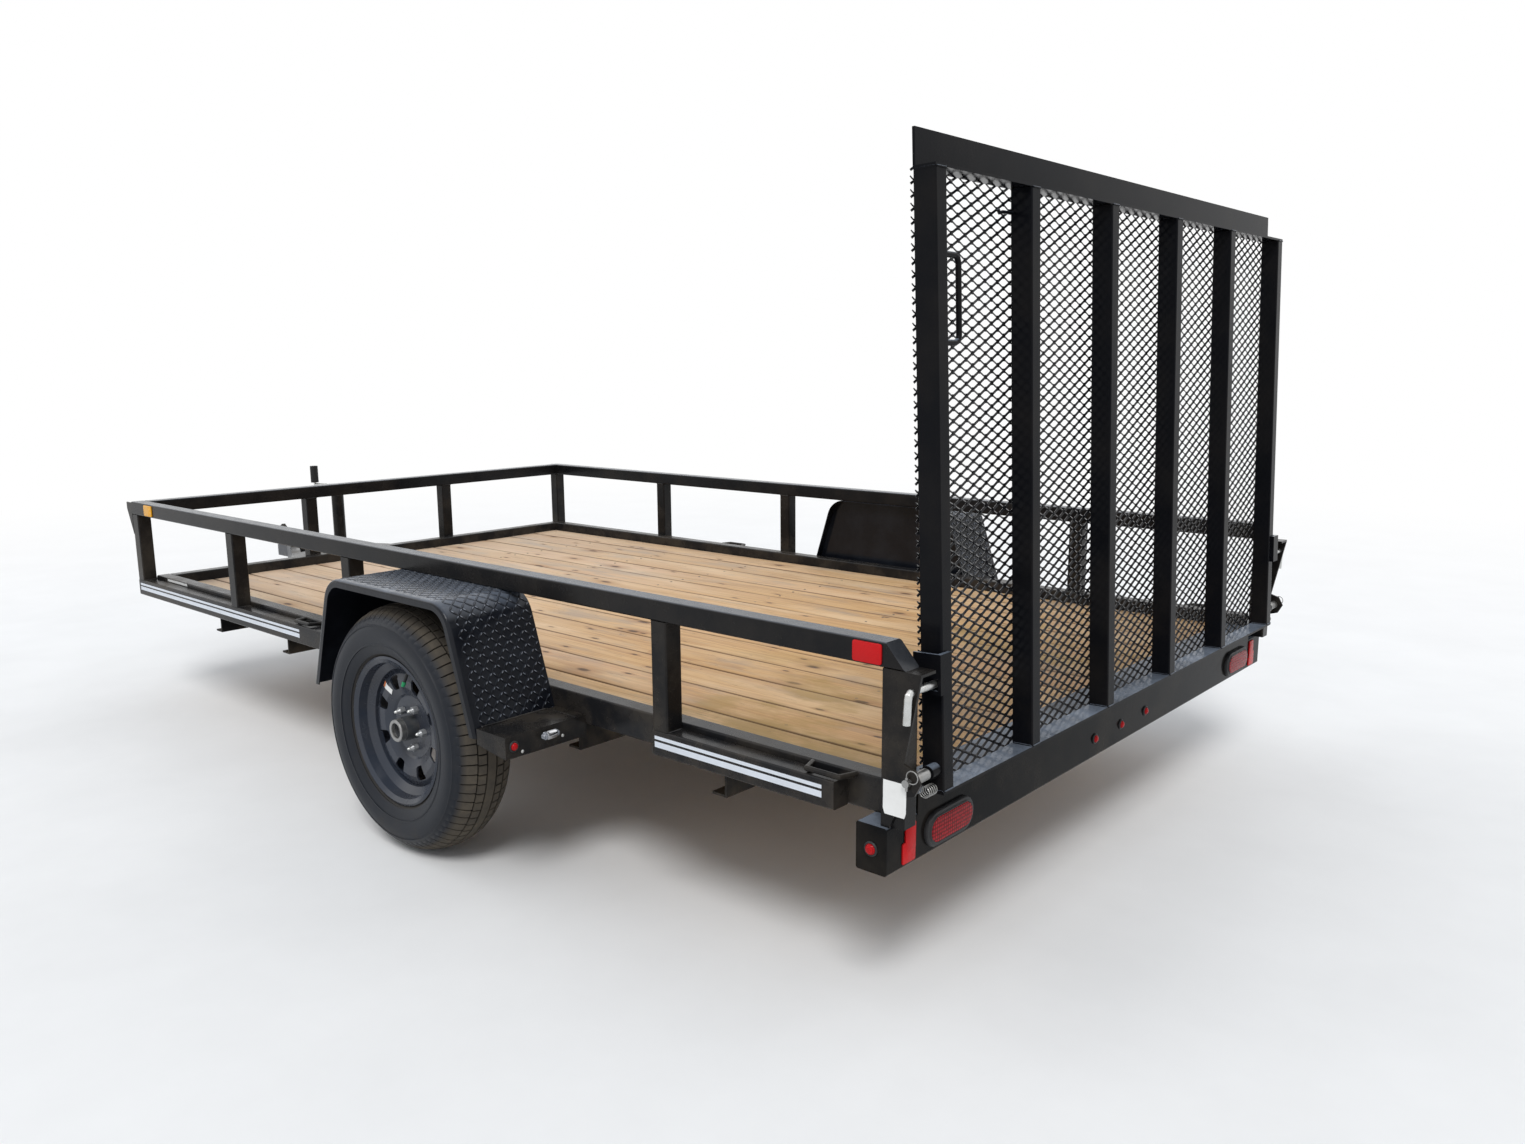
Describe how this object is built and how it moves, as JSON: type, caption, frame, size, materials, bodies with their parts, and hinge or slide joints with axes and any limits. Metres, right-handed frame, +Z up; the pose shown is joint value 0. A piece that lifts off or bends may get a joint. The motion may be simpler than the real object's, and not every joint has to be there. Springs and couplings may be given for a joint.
{
  "type": "utility trailer",
  "caption": "Open utility trailer with a wooden deck, square tube side rails, tread plate fenders, ball coupler, tongue jack and a mesh ramp gate standing up at the back.",
  "frame": {"origin": "on the ground under the middle of the trailer's whole length and width", "axes": "+X forward to the coupler, +Y to the left, +Z up"},
  "size_m": [4.716, 2.566, 1.756],
  "materials": {
    "black_paint": "gloss",
    "mesh_paint": "gloss",
    "fender_plate": "satin",
    "deck_wood": "matte",
    "zinc": "satin",
    "grip_plastic": "matte",
    "lamp_red": "gloss",
    "lamp_amber": "gloss",
    "chrome_trim": "gloss",
    "tyre_rubber": "matte",
    "rim_paint": "gloss",
    "hub_steel": "satin"
  },
  "bodies": {
    "chassis": {"amber_reflectors": "lamp_amber", "axle_beam": "black_paint", "clearance_lamps": "lamp_red", "coupler": "zinc", "coupler_latch": "black_paint", "cross_members": "black_paint", "deck_boards": "deck_wood", "fender_boxes": "black_paint", "fender_left": "fender_plate", "fender_right": "fender_plate", "front_gussets": "black_paint", "hinge_pins": "zinc", "jack_crank": "zinc", "jack_grip": "grip_plastic", "jack_housing": "black_paint", "latch_pins": "zinc", "latch_post_left": "black_paint", "latch_post_right": "black_paint", "licence_lamp": "chrome_trim", "main_frame": "black_paint", "posts_front": "black_paint", "posts_left": "black_paint", "posts_right": "black_paint", "rear_header": "black_paint", "red_reflectors": "lamp_red", "rub_rail": "black_paint", "spring_hangers": "black_paint", "springs": "black_paint", "tail_lamps": "lamp_red", "tie_loops": "black_paint", "tongue": "black_paint", "top_rail": "black_paint"},
    "wheel_left": {"tyre_left": "tyre_rubber", "rim_left": "rim_paint", "hub_left": "hub_steel"},
    "wheel_right": {"tyre_right": "tyre_rubber", "rim_right": "rim_paint", "hub_right": "hub_steel"},
    "gate": {"gate_frame": "black_paint", "gate_uprights": "black_paint", "gate_mesh_rising": "mesh_paint", "gate_mesh_falling": "mesh_paint", "gate_handle": "black_paint", "gate_ears": "black_paint"},
    "jack_foot": {"jack_leg": "zinc"}
  },
  "joints": [
    {"name": "wheel_left_spin", "type": "hinge", "parent": "chassis", "child": "wheel_left", "pos_m": [-0.784, 1.189, 0.344], "axis": [0, 1, 0], "continuous": true},
    {"name": "wheel_right_spin", "type": "hinge", "parent": "chassis", "child": "wheel_right", "pos_m": [-0.784, -1.189, 0.344], "axis": [0, 1, 0], "continuous": true},
    {"name": "gate_hinge", "type": "hinge", "parent": "chassis", "child": "gate", "pos_m": [-2.33, 0, 0.522], "axis": [0, -1, 0], "range_deg": [0, 117]},
    {"name": "jack_slide", "type": "slide", "parent": "chassis", "child": "jack_foot", "axis": [0, 0, 1], "range_m": [0, 0.17]}
  ]
}
